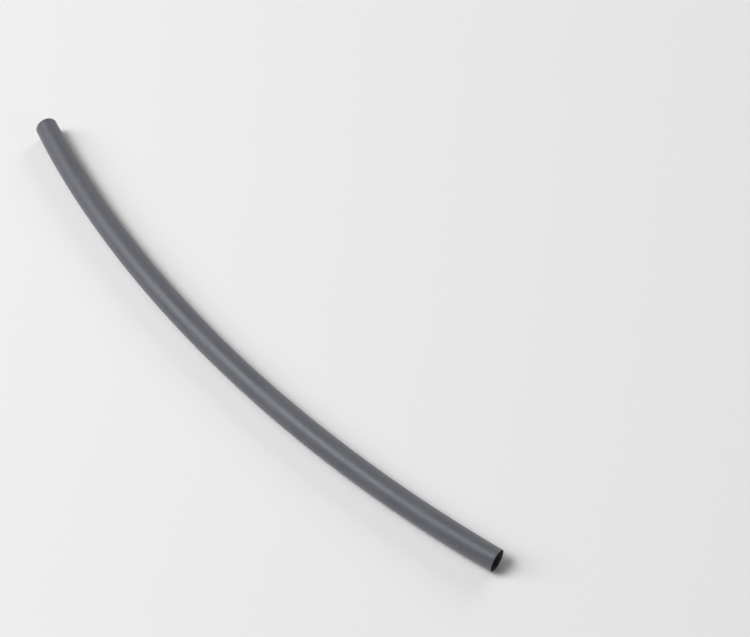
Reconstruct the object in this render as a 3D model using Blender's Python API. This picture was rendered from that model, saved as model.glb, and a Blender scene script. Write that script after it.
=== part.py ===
"""A cut length of heat shrink tube, lying on its side with the curve that it took on its spool.

The centreline lies in one level plane. It starts at the far cut end and runs to the near one.
The bore is open from end to end. Both ends were squeezed a little from the sides by the cutter,
so the round section turns into an upright oval over the last few diameters.
Metres, +Z up. The origin is on the surface that the tube lies on, at the middle of its outline.
"""

import math

import bmesh
import bpy
import numpy as np
from mathutils import Matrix, Vector

# Driving dimensions
CUT_LENGTH = 0.300  # along the centreline, from cut to cut
BORE = 0.0100  # supplied inside diameter, where the section is round
WALL = 0.0003  # supplied wall, before shrinking
FAR_BEND_RADIUS = 0.510  # of the centreline at the far cut
NEAR_BEND_RADIUS = 0.660  # of the centreline at the near cut
FAR_OVALITY = 0.085  # share by which the far cut is taller, and narrower, than the round section
NEAR_OVALITY = 0.085  # the same at the near cut
SQUEEZE_REACH = 0.020  # distance from a cut over which most of its ovality fades

# How finely the curved walls are divided
SIDES = 24  # an even number, so that a flat side lies on the surface
STATION_SPACING = 0.0075
PATH_STEPS_PER_STATION = 16
SHARPEST_SMOOTH_EDGE = math.radians(40)  # the walls are shaded smooth and the cut edges sharp

TUBE_COLOUR = (0.095, 0.1005, 0.119, 1.0)
TUBE_ROUGHNESS = 0.45


def clear_scene():
    for obj in list(bpy.data.objects):
        bpy.data.objects.remove(obj, do_unlink=True)


def station_count():
    return max(2, round(CUT_LENGTH / STATION_SPACING)) + 1


def curvature_at(along):
    """The curvature changes evenly from the far cut to the near one."""
    share = along / CUT_LENGTH
    return (1 - share) / FAR_BEND_RADIUS + share / NEAR_BEND_RADIUS


def heading_at(along):
    """The angle of the centreline from +X: the sum of the curvature, less half of the whole turn."""
    half_turn = CUT_LENGTH * (curvature_at(0) + curvature_at(CUT_LENGTH)) / 4
    return along * (curvature_at(0) + curvature_at(along)) / 2 - half_turn


def centreline():
    """For each station, its distance along the tube, its place in plan and its heading."""
    stations = station_count()
    along = np.linspace(0, CUT_LENGTH, (stations - 1) * PATH_STEPS_PER_STATION + 1)
    middles = (along[1:] + along[:-1]) / 2
    step = along[1] - along[0]
    x = np.concatenate([[0], np.cumsum(np.cos(heading_at(middles)) * step)])
    y = np.concatenate([[0], np.cumsum(np.sin(heading_at(middles)) * step)])
    keep = slice(None, None, PATH_STEPS_PER_STATION)
    return list(zip(along[keep], x[keep], y[keep], heading_at(along[keep])))


def ovality_at(along):
    """Fades away from both cuts. The wall keeps its length round the section."""
    from_far = FAR_OVALITY * math.exp(-along / SQUEEZE_REACH)
    from_near = NEAR_OVALITY * math.exp(-(CUT_LENGTH - along) / SQUEEZE_REACH)
    return from_far + from_near


def section_at(station, inset):
    """The placement of a unit circle as the section at this station, inset from the outer wall."""
    along, x, y, heading = station
    outer_radius = BORE / 2 + WALL
    half_width = outer_radius * (1 - ovality_at(along))
    half_height = outer_radius * (1 + ovality_at(along))
    flat_below_centre = half_height * math.cos(math.pi / SIDES)
    place = Matrix.Translation((x, y, flat_below_centre))
    across = Matrix.Rotation(heading + math.pi / 2, 4, "Z")
    upright = Matrix.Rotation(math.pi / 2, 4, "X")
    oval = Matrix.Diagonal((half_width - inset, half_height - inset, 1, 1))
    flat_side_down = Matrix.Rotation(math.pi / SIDES, 4, "Z")
    return place @ across @ upright @ oval @ flat_side_down


def add_ring(bm, placement):
    """The corners of one section in order, with the side of the polygon that faces down level."""
    return bmesh.ops.create_circle(bm, segments=SIDES, radius=1, matrix=placement)["verts"]


def join_rings(bm, ring, following):
    """A band of four-sided faces between two rings whose corners run the same way round."""
    corners = list(zip(ring, following))
    for (low, low_next), (high, high_next) in zip(corners, corners[1:] + corners[:1]):
        bm.faces.new((low, low_next, high_next, high))


def tube_mesh():
    """Rings down the outer wall and back up the bore, each joined to the next and the last to the first."""
    bm = bmesh.new()
    stations = centreline()
    rings = [add_ring(bm, section_at(station, 0)) for station in stations]
    rings += [add_ring(bm, section_at(station, WALL)) for station in reversed(stations)]
    for ring, following in zip(rings, rings[1:] + rings[:1]):
        join_rings(bm, ring, following)
    bmesh.ops.recalc_face_normals(bm, faces=bm.faces)
    mesh = bpy.data.meshes.new("heat_shrink_tube")
    bm.to_mesh(mesh)
    bm.free()
    return mesh


def centre_in_plan(mesh):
    """Moves the mesh so that the middle of its outline, seen from above, is at the origin."""
    corners = np.array([vertex.co for vertex in mesh.vertices])
    middle = (corners.min(axis=0) + corners.max(axis=0)) / 2
    mesh.transform(Matrix.Translation(Vector((-middle[0], -middle[1], 0))))


def tube_material():
    material = bpy.data.materials.new("grey_polyolefin")
    material.use_nodes = True
    shader = material.node_tree.nodes["Principled BSDF"]
    shader.inputs["Base Color"].default_value = TUBE_COLOUR
    shader.inputs["Roughness"].default_value = TUBE_ROUGHNESS
    shader.inputs["Metallic"].default_value = 0.0
    return material


def build_tube():
    mesh = tube_mesh()
    centre_in_plan(mesh)
    mesh.shade_smooth()
    mesh.set_sharp_from_angle(angle=SHARPEST_SMOOTH_EDGE)
    mesh.materials.append(tube_material())
    tube = bpy.data.objects.new("heat_shrink_tube", mesh)
    bpy.context.scene.collection.objects.link(tube)
    return tube


clear_scene()
build_tube()
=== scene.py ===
"""A cut length of grey heat shrink tube on a pale table, under soft studio light.

The tube is drawn plastic, cut from a spool. Its skin, bore and two cut faces are one closed mesh,
bent along the curve that the tube kept. Lengths are in metres. Angles are in radians, except those
of the lamps, which are in degrees.
"""

import math

import bpy
import numpy as np
from mathutils import Matrix, Vector


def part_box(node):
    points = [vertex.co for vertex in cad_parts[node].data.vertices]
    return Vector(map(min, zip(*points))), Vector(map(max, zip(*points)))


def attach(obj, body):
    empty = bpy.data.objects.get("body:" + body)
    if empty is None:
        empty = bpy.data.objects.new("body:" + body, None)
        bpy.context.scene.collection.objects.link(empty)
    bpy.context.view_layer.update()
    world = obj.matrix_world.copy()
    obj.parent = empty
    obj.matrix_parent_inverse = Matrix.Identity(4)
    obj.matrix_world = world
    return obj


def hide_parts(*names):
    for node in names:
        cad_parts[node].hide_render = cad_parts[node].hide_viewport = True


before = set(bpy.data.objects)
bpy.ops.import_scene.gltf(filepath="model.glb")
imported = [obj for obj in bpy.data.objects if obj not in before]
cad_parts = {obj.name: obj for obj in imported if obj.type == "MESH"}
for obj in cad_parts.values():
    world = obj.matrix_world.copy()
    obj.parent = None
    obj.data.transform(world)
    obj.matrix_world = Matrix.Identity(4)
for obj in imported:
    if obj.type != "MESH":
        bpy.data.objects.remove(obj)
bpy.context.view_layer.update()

# The tube, as the part gives it
CUT_LENGTH = 0.300  # along the centreline
BORE = 0.0100
WALL = 0.0003
FAR_BEND_RADIUS = 0.510
NEAR_BEND_RADIUS = 0.660
FAR_OVALITY = 0.085  # share by which the far cut is taller, and narrower, than the round section
NEAR_OVALITY = 0.085
SQUEEZE_REACH = 0.020  # distance from a cut over which most of its ovality fades

# How finely the tube is made
SIDES = 96
CUTS_ALONG = 220
POINTS_PER_LIP_CORNER = 3
CENTRELINE_STEPS = 600
SHORTEST_LONG_GAP = 2.0  # in walls, between two points of the wall's section

# Small departures from a true tube
LIP_ROUNDING = 0.00007
WALL_WAVE = 0.00008
WALL_WAVE_LENGTH = 0.045
WALL_WAVE_DETAIL = 1.0  # octaves of its noise
CUT_UNEVENNESS = 0.00016
CUT_UNEVENNESS_REACH = 0.004
CUT_BUMPS_PER_TURN = 1.3
CUT_DETAIL = 2.0  # octaves of its noise
SHAPE_SEED = 7.0
SEED_STEP_PER_METRE = 100.0  # so that the two cuts don't match

# The skin's tones
DARK_GREY = (0.065, 0.071, 0.088, 1.0)
LIGHT_GREY = (0.115, 0.120, 0.137, 1.0)
DUST_GREY = (0.42, 0.43, 0.44, 1.0)
MOTTLE_SHARE = 0.42  # of the tone, with the rest for the streaks and patches
STREAK_SHARE = 0.4  # of that rest, with what is left for the patches

# The marks that drawing leaves: the length of each along the tube, its width and its octaves of detail
STREAKS = (0.080, 0.0006, 3.0)
PATCHES = (0.022, 0.006, 4.0)
MOTTLE = (0.0016, 0.0011, 3.0)
GRAIN = (0.0002, 0.0002, 2.0)
NOISE_MIDDLE = 0.5
NOISE_LOW, NOISE_HIGH = 0.3, 0.7  # the range that holds nearly all of a noise's values

# The skin's finish
RELIEF_HEIGHT = 0.00004
RELIEF_STRENGTH = 0.3
RELIEF_STREAK_SHARE = 0.6  # with the rest for the grain
SMOOTHEST, ROUGHEST = 0.46, 0.56
GLOSS_PATCH_SHARE = 0.7  # with the rest for the grain
SHEEN, SHEEN_ROUGHNESS = 0.20, 0.5
GLAZE, GLAZE_ROUGHNESS = 0.06, 0.3  # the thin closed skin that the hot die leaves

# Dust
DUST_RADIUS = 0.00014
DUST_CELLS_PER_METRE = 600.0
DUST_SHARE = 0.12  # of the cells that hold a speck
DUST_COVER = 0.5
DUST_RISE = 0.5  # as a share of the relief's height

# The table
TABLE_SIZE = 8.0
TABLE_COLOUR = (0.84, 0.826, 0.832, 1.0)
TABLE_ROUGHNESS = 0.7
TABLE_GLOSS = 0.2

# The view: how far the camera is turned from the tube's chord, and the point of the table at its centre
VIEW_TURN = math.radians(48.86)
VIEW_ELEVATION = math.radians(56.26)
VIEW_DISTANCE = 1.0342
VIEW_CENTRE = Vector((0.02509, 0.05349, 0.0))
LENS_MM = 115.14
SENSOR_MM = 36.0
NEAREST_SEEN, FARTHEST_SEEN = 0.01, 20.0

# Each lamp's name, rise above the table and bearing in degrees, width, height and watts. A bearing runs
# anticlockwise from the picture's right.
LAMPS = (
    ("left_key", 58, 178, 1.30, 1.10, 34.0),
    ("front_left_key", 56, 194, 1.30, 1.10, 22.5),
    ("low_left_fill", 30, 180, 1.30, 1.10, 21.0),
    ("high_back", 70, 120, 1.30, 1.10, 6.0),
    ("back_right_fill", 30, 58, 1.60, 1.30, 19.0),
    ("front_right_fill", 24, 325, 1.30, 1.10, 4.5),
)
LAMP_DISTANCE = 2.8
ROOM_LIGHT = 0.07
WHITE = (1.0, 1.0, 1.0, 1.0)

TUBE_INPUTS = {
    "Cut length": CUT_LENGTH,
    "Bore": BORE,
    "Wall": WALL,
    "Lip rounding": LIP_ROUNDING,
    "Far ovality": FAR_OVALITY,
    "Near ovality": NEAR_OVALITY,
    "Squeeze reach": SQUEEZE_REACH,
    "Wall wave": WALL_WAVE,
    "Wall wave length": WALL_WAVE_LENGTH,
    "Cut unevenness": CUT_UNEVENNESS,
    "Cut unevenness reach": CUT_UNEVENNESS_REACH,
    "Cut bumps per turn": CUT_BUMPS_PER_TURN,
    "Seed": SHAPE_SEED,
    "Sides": SIDES,
    "Cuts along": CUTS_ALONG,
}


class NodeWriter:
    """Writes one node tree: each call adds a node, feeds its inputs and returns it or its output."""

    def __init__(self, tree):
        self.tree = tree

    def feed(self, socket, source):
        if isinstance(source, bpy.types.NodeSocket):
            self.tree.links.new(source, socket)
        else:
            socket.default_value = source

    def add(self, kind, inputs=None, **settings):
        node = self.tree.nodes.new(kind)
        for name, value in settings.items():
            setattr(node, name, value)
        for name, source in (inputs or {}).items():
            self.feed(node.inputs[name], source)
        return node

    def math(self, operation, *values):
        node = self.add("ShaderNodeMath", dict(enumerate(values)), operation=operation)
        return node.outputs["Value"]

    def blend(self, first, second, first_share):
        """A share of the first value and the rest of the second."""
        first_part = self.math("MULTIPLY", first, first_share)
        second_part = self.math("MULTIPLY", second, 1 - first_share)
        return self.math("ADD", first_part, second_part)

    def vector_math(self, operation, *values):
        node = self.add("ShaderNodeVectorMath", dict(enumerate(values)), operation=operation)
        return node.outputs["Vector"]

    def scaled(self, vector, scale):
        inputs = {"Vector": vector, "Scale": scale}
        return self.add("ShaderNodeVectorMath", inputs, operation="SCALE").outputs["Vector"]

    def combined(self, x, y, z):
        return self.add("ShaderNodeCombineXYZ", {"X": x, "Y": y, "Z": z}).outputs["Vector"]

    def seeded_noise(self, place, seed, detail):
        """Noise about zero, from -0.5 to 0.5, that another seed changes throughout."""
        inputs = {"Vector": place, "W": seed, "Scale": 1.0, "Detail": detail}
        noise = self.add("ShaderNodeTexNoise", inputs, noise_dimensions="4D")
        return self.math("SUBTRACT", noise.outputs[0], NOISE_MIDDLE)


def curvature_at(along):
    """The curvature changes evenly from the far cut to the near one."""
    share = along / CUT_LENGTH
    return (1 - share) / FAR_BEND_RADIUS + share / NEAR_BEND_RADIUS


def heading_at(along):
    """The angle of the centreline from the chord: the sum of the curvature, less half of the whole turn."""
    half_turn = CUT_LENGTH * (curvature_at(0) + curvature_at(CUT_LENGTH)) / 4
    return along * (curvature_at(0) + curvature_at(along)) / 2 - half_turn


def centreline_curve():
    """The centreline in plan, as an open curve from the far cut to the near one."""
    along = np.linspace(0, CUT_LENGTH, CENTRELINE_STEPS + 1)
    middles = (along[1:] + along[:-1]) / 2
    step = CUT_LENGTH / CENTRELINE_STEPS
    x = np.concatenate([[0], np.cumsum(np.cos(heading_at(middles)) * step)])
    y = np.concatenate([[0], np.cumsum(np.sin(heading_at(middles)) * step)])
    curve = bpy.data.curves.new("tube_centreline", "CURVE")
    curve.dimensions = "3D"
    spline = curve.splines.new("POLY")
    spline.points.add(CENTRELINE_STEPS)
    points = np.stack([x, y, np.zeros_like(x), np.ones_like(x)], axis=1)
    spline.points.foreach_set("co", points.astype(np.float32).ravel())
    return curve


def wall_section(write, sizes):
    """The wall cut lengthwise: a long thin rectangle with rounded corners, divided along its long sides."""
    sides = {"Width": sizes["Cut length"], "Height": sizes["Wall"]}
    rectangle = write.add("GeometryNodeCurvePrimitiveQuadrilateral", sides).outputs["Curve"]
    corners = {"Curve": rectangle, "Count": POINTS_PER_LIP_CORNER, "Radius": sizes["Lip rounding"]}
    rounded = write.add("GeometryNodeFilletCurve", corners, mode="POLY").outputs["Curve"]
    cuts = write.math("MULTIPLY", starts_long_side(write, sizes), sizes["Cuts along"])
    return write.add("GeometryNodeSubdivideCurve", {"Curve": rounded, "Cuts": cuts}).outputs["Curve"]


def starts_long_side(write, sizes):
    """1 on a point of the wall's section that has a long gap to the next point, and 0 elsewhere."""
    position = write.add("GeometryNodeInputPosition").outputs["Position"]
    following = write.math("ADD", write.add("GeometryNodeInputIndex").outputs["Index"], 1)
    count = write.add("GeometryNodeSplineLength").outputs["Point Count"]
    wrapped = write.math("FLOORED_MODULO", following, count)
    there = {"Index": wrapped, "Value": position}
    next_position = write.add("GeometryNodeFieldAtIndex", there, data_type="FLOAT_VECTOR", domain="POINT")
    ends = {0: position, 1: next_position.outputs["Value"]}
    gap = write.add("ShaderNodeVectorMath", ends, operation="DISTANCE").outputs["Value"]
    return write.math("GREATER_THAN", gap, write.math("MULTIPLY", sizes["Wall"], SHORTEST_LONG_GAP))


def capture(write, geometry, values):
    """Keeps the named values on each point of the geometry."""
    node = write.add("GeometryNodeCaptureAttribute", {"Geometry": geometry}, domain="POINT")
    for name, value in values.items():
        node.capture_items.new("FLOAT", name)
        write.feed(node.inputs[name], value)
    return node


def sweep_wall(write, sizes, outer_radius):
    """The wall's section carried round a ring, with its captured section and ring."""
    section = wall_section(write, sizes)
    position = write.add("GeometryNodeInputPosition").outputs["Position"]
    place = write.add("ShaderNodeSeparateXYZ", {0: position})
    half_length = write.math("MULTIPLY", sizes["Cut length"], 0.5)
    from_far = write.math("ADD", place.outputs["X"], half_length)
    section = capture(write, section, {"along": from_far, "rise": place.outputs["Y"]})

    middle_radius = write.math("SUBTRACT", outer_radius, write.math("MULTIPLY", sizes["Wall"], 0.5))
    circle = {"Resolution": sizes["Sides"], "Radius": middle_radius}
    ring = write.add("GeometryNodeCurvePrimitiveCircle", circle, mode="RADIUS").outputs["Curve"]
    factor = write.add("GeometryNodeSplineParameter").outputs["Factor"]
    ring = capture(write, ring, {"round": write.math("MULTIPLY", factor, math.tau)})
    curves = {"Curve": ring.outputs["Geometry"], "Profile Curve": section.outputs["Geometry"]}
    swept = write.add("GeometryNodeCurveToMesh", curves).outputs["Mesh"]
    return swept, section.outputs, ring.outputs


def fade_from_cut(write, distance, reach):
    return write.math("EXPONENT", write.math("DIVIDE", write.math("MULTIPLY", distance, -1.0), reach))


def oval_half_axes(write, sizes, along, from_near, outer_radius):
    """Half of the tube's width and height. The squeeze of each cut fades away from it."""
    far_fade = fade_from_cut(write, along, sizes["Squeeze reach"])
    near_fade = fade_from_cut(write, from_near, sizes["Squeeze reach"])
    far_share = write.math("MULTIPLY", far_fade, sizes["Far ovality"])
    near_share = write.math("MULTIPLY", near_fade, sizes["Near ovality"])
    ovality = write.math("ADD", far_share, near_share)
    half_width = write.math("MULTIPLY", outer_radius, write.math("SUBTRACT", 1.0, ovality))
    half_height = write.math("MULTIPLY", outer_radius, write.math("ADD", 1.0, ovality))
    return half_width, half_height


def wavy_inset(write, sizes, unbent, rise):
    """How far a point lies inside the true outer wall, with the slow waves that drawing leaves."""
    wave_place = write.scaled(unbent, write.math("DIVIDE", 1.0, sizes["Wall wave length"]))
    noise = write.seeded_noise(wave_place, sizes["Seed"], WALL_WAVE_DETAIL)
    wave = write.math("MULTIPLY", noise, sizes["Wall wave"])
    inset = write.math("SUBTRACT", write.math("MULTIPLY", sizes["Wall"], 0.5), rise)
    return write.math("SUBTRACT", inset, wave)


def cut_slip(write, sizes, along, from_near, cosine, sine):
    """How far each point near a cut lies off the cut's plane: the blade didn't pass quite straight."""
    reach = sizes["Cut unevenness reach"]
    far_fade = fade_from_cut(write, along, reach)
    near_fade = fade_from_cut(write, from_near, reach)
    near_a_cut = write.math("ADD", far_fade, near_fade)
    round_place = write.scaled(write.combined(cosine, sine, 0.0), sizes["Cut bumps per turn"])
    seed_step = write.math("MULTIPLY", along, SEED_STEP_PER_METRE)
    bumps = write.seeded_noise(round_place, write.math("ADD", sizes["Seed"], seed_step), CUT_DETAIL)
    return write.math("MULTIPLY", write.math("MULTIPLY", bumps, sizes["Cut unevenness"]), near_a_cut)


def bend(write, sizes, along, across, upward, slip):
    """The place of a point of the straight tube once the tube is bent and lies on the table."""
    on_curve = {"Curves": sizes["Centreline"], "Length": along}
    path = write.add("GeometryNodeSampleCurve", on_curve, mode="LENGTH", use_all_curves=True).outputs
    side = write.vector_math("CROSS_PRODUCT", (0.0, 0.0, 1.0), path["Tangent"])
    bent = write.vector_math("ADD", path["Position"], write.scaled(side, across))
    bent = write.vector_math("ADD", bent, write.combined(0.0, 0.0, upward))
    return write.vector_math("ADD", bent, write.scaled(path["Tangent"], slip))


def declare_inputs(tree):
    """The tree's named inputs and its result."""
    interface = tree.interface
    interface.new_socket("Centreline", in_out="INPUT", socket_type="NodeSocketGeometry")
    for name, value in TUBE_INPUTS.items():
        kind = "NodeSocketInt" if isinstance(value, int) else "NodeSocketFloat"
        interface.new_socket(name, in_out="INPUT", socket_type=kind)
    interface.new_socket("Skin", in_out="INPUT", socket_type="NodeSocketMaterial")
    interface.new_socket("Tube", in_out="OUTPUT", socket_type="NodeSocketGeometry")


def tube_tree():
    """Sweeps the wall round a ring, gives each ring its oval and bends the whole along the centreline."""
    tree = bpy.data.node_groups.new("Drawn tube", "GeometryNodeTree")
    declare_inputs(tree)
    write = NodeWriter(tree)
    sizes = write.add("NodeGroupInput").outputs
    outer_radius = write.math("ADD", write.math("MULTIPLY", sizes["Bore"], 0.5), sizes["Wall"])
    swept, section, ring = sweep_wall(write, sizes, outer_radius)

    along = section["along"]
    from_near = write.math("SUBTRACT", sizes["Cut length"], along)
    cosine = write.math("COSINE", ring["round"])
    sine = write.math("SINE", ring["round"])
    round_y = write.math("MULTIPLY", cosine, outer_radius)
    round_z = write.math("MULTIPLY", sine, outer_radius)
    unbent = write.combined(along, round_y, round_z)

    half_width, half_height = oval_half_axes(write, sizes, along, from_near, outer_radius)
    inset = wavy_inset(write, sizes, unbent, section["rise"])
    across = write.math("MULTIPLY", cosine, write.math("SUBTRACT", half_width, inset))
    from_middle = write.math("MULTIPLY", sine, write.math("SUBTRACT", half_height, inset))
    upward = write.math("ADD", from_middle, half_height)
    slip = cut_slip(write, sizes, along, from_near, cosine, sine)
    bent = bend(write, sizes, along, across, upward, slip)

    tube = write.add("GeometryNodeSetPosition", {"Geometry": swept, "Position": bent}).outputs["Geometry"]
    stored = {"Geometry": tube, "Name": "unbent_place", "Value": unbent}
    named = write.add("GeometryNodeStoreNamedAttribute", stored, data_type="FLOAT_VECTOR", domain="POINT")
    tube = write.add("GeometryNodeSetShadeSmooth", {"Geometry": named.outputs["Geometry"]})
    tube = write.add("GeometryNodeRealizeInstances", {"Geometry": tube.outputs["Geometry"]})
    skinned = {"Geometry": tube.outputs["Geometry"], "Material": sizes["Skin"]}
    tube = write.add("GeometryNodeSetMaterial", skinned)
    write.add("NodeGroupOutput", {"Tube": tube.outputs["Geometry"]})
    return tree


def set_inputs(modifier, values):
    for item in modifier.node_group.interface.items_tree:
        if item.name in values:
            modifier[item.identifier] = values[item.name]


def plain_mesh(source, name):
    """The evaluated result as an object of its own, with the source removed."""
    graph = bpy.context.evaluated_depsgraph_get()
    mesh = bpy.data.meshes.new_from_object(source.evaluated_get(graph), depsgraph=graph)
    mesh.name = name
    bpy.data.objects.remove(source)
    piece = bpy.data.objects.new(name, mesh)
    bpy.context.scene.collection.objects.link(piece)
    return piece


def stand_in_box(piece, node):
    """Centres the mesh in plan on the node, with its lowest line as low as the node's."""
    corners = np.array([vertex.co for vertex in piece.data.vertices])
    middle = (corners.min(axis=0) + corners.max(axis=0)) / 2
    low, high = (np.array(corner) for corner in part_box(node))
    shift = (low + high) / 2 - middle
    shift[2] = low[2] - corners[:, 2].min()
    piece.data.transform(Matrix.Translation(Vector(shift)))


def build_tube(skin):
    curve = bpy.data.objects.new("tube_centreline", centreline_curve())
    bpy.context.scene.collection.objects.link(curve)
    modifier = curve.modifiers.new("Drawn tube", "NODES")
    modifier.node_group = tube_tree()
    set_inputs(modifier, {**TUBE_INPUTS, "Skin": skin})
    tube = plain_mesh(curve, "tube_skin_and_bore")
    stand_in_box(tube, "heat_shrink_tube")
    return tube


def drawn_noise(write, place, length, width, detail):
    """Noise stretched along the tube, as marks are that drawing leaves."""
    stretched = write.vector_math("MULTIPLY", place, (1 / length, 1 / width, 1 / width))
    return write.add("ShaderNodeTexNoise", {"Vector": stretched, "Scale": 1.0, "Detail": detail}).outputs[0]


def dust_mask(write, place):
    """1 on small scattered specks of dust and 0 between them."""
    cells = write.add("ShaderNodeTexVoronoi", {"Vector": place, "Scale": DUST_CELLS_PER_METRE})
    close = write.math("LESS_THAN", cells.outputs["Distance"], DUST_RADIUS * DUST_CELLS_PER_METRE)
    chance = write.add("ShaderNodeSeparateColor", {"Color": cells.outputs["Color"]}).outputs["Red"]
    return write.math("MULTIPLY", close, write.math("LESS_THAN", chance, DUST_SHARE))


def skin_colour(write, tone, dust):
    """Grey that follows the tone, paler where a speck of dust lies."""
    ramp = write.add("ShaderNodeValToRGB", {"Fac": tone})
    dark, light = ramp.color_ramp.elements
    dark.position, dark.color = NOISE_LOW, DARK_GREY
    light.position, light.color = NOISE_HIGH, LIGHT_GREY
    dusty = write.add("ShaderNodeMixRGB", {"Color1": ramp.outputs["Color"], "Color2": DUST_GREY})
    write.feed(dusty.inputs["Fac"], write.math("MULTIPLY", dust, DUST_COVER))
    return dusty.outputs["Color"]


def grey_polyolefin():
    """Matte slate grey plastic with streaks from the die, uneven patches, a mottle, grain and dust."""
    material = bpy.data.materials.new("grey_polyolefin")
    material.use_nodes = True
    write = NodeWriter(material.node_tree)
    place = write.add("ShaderNodeAttribute", attribute_name="unbent_place").outputs["Vector"]
    streaks = drawn_noise(write, place, *STREAKS)
    patches = drawn_noise(write, place, *PATCHES)
    mottle = drawn_noise(write, place, *MOTTLE)
    grain = drawn_noise(write, place, *GRAIN)
    dust = dust_mask(write, place)

    unevenness = write.blend(patches, grain, GLOSS_PATCH_SHARE)
    spread = {"From Min": NOISE_LOW, "From Max": NOISE_HIGH, "To Min": SMOOTHEST, "To Max": ROUGHEST}
    roughness = write.add("ShaderNodeMapRange", {"Value": unevenness, **spread})
    dust_relief = write.math("MULTIPLY", dust, DUST_RISE)
    relief = write.math("ADD", write.blend(streaks, grain, RELIEF_STREAK_SHARE), dust_relief)
    bumps = {"Height": relief, "Strength": RELIEF_STRENGTH, "Distance": RELIEF_HEIGHT}

    tone = write.blend(mottle, write.blend(streaks, patches, STREAK_SHARE), MOTTLE_SHARE)

    shader = material.node_tree.nodes["Principled BSDF"]
    for name, source in {
        "Base Color": skin_colour(write, tone, dust),
        "Roughness": roughness.outputs["Result"],
        "Normal": write.add("ShaderNodeBump", bumps).outputs["Normal"],
        "Sheen Weight": SHEEN,
        "Sheen Roughness": SHEEN_ROUGHNESS,
        "Coat Weight": GLAZE,
        "Coat Roughness": GLAZE_ROUGHNESS,
    }.items():
        write.feed(shader.inputs[name], source)
    return material


def table_top():
    half = TABLE_SIZE / 2
    corners = [(-half, -half, 0), (half, -half, 0), (half, half, 0), (-half, half, 0)]
    mesh = bpy.data.meshes.new("table_top")
    mesh.from_pydata(corners, [], [(0, 1, 2, 3)])
    table = bpy.data.objects.new("table_top", mesh)
    bpy.context.scene.collection.objects.link(table)
    material = bpy.data.materials.new("pale_table")
    material.use_nodes = True
    shader = material.node_tree.nodes["Principled BSDF"]
    shader.inputs["Base Color"].default_value = TABLE_COLOUR
    shader.inputs["Roughness"].default_value = TABLE_ROUGHNESS
    shader.inputs["Specular IOR Level"].default_value = TABLE_GLOSS
    mesh.materials.append(material)


def from_view(right, away, up):
    """A place measured from the view's centre: to the picture's right, away from the camera, and up."""
    cosine, sine = math.cos(VIEW_TURN), math.sin(VIEW_TURN)
    return VIEW_CENTRE + Vector((right * cosine - away * sine, right * sine + away * cosine, up))


def softbox(name, rise, bearing, width, height, watts):
    """A rectangular lamp aimed at the view's centre."""
    light = bpy.data.lights.new(name, "AREA")
    light.shape = "RECTANGLE"
    light.size = width
    light.size_y = height
    light.energy = watts
    lamp = bpy.data.objects.new(name, light)
    rise, bearing = math.radians(rise), math.radians(bearing)
    level = LAMP_DISTANCE * math.cos(rise)
    up = LAMP_DISTANCE * math.sin(rise)
    lamp.location = from_view(level * math.cos(bearing), level * math.sin(bearing), up)
    towards = VIEW_CENTRE - lamp.location
    lamp.rotation_euler = towards.to_track_quat("-Z", "Y").to_euler()
    bpy.context.scene.collection.objects.link(lamp)


def studio_light():
    for lamp in LAMPS:
        softbox(*lamp)
    world = bpy.data.worlds.new("studio")
    world.use_nodes = True
    background = world.node_tree.nodes["Background"]
    background.inputs["Color"].default_value = WHITE
    background.inputs["Strength"].default_value = ROOM_LIGHT
    bpy.context.scene.world = world


def camera():
    data = bpy.data.cameras.new("camera")
    data.lens = LENS_MM
    data.sensor_width = SENSOR_MM
    data.sensor_fit = "HORIZONTAL"
    data.clip_start = NEAREST_SEEN
    data.clip_end = FARTHEST_SEEN
    view = bpy.data.objects.new("camera", data)
    level = VIEW_DISTANCE * math.cos(VIEW_ELEVATION)
    view.location = from_view(0.0, -level, VIEW_DISTANCE * math.sin(VIEW_ELEVATION))
    view.rotation_euler = (math.pi / 2 - VIEW_ELEVATION, 0.0, VIEW_TURN)
    bpy.context.scene.collection.objects.link(view)
    bpy.context.scene.camera = view


camera()
table_top()
studio_light()
tube = build_tube(grey_polyolefin())
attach(tube, "root")
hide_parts("heat_shrink_tube")
bpy.context.scene.view_settings.view_transform = "Standard"
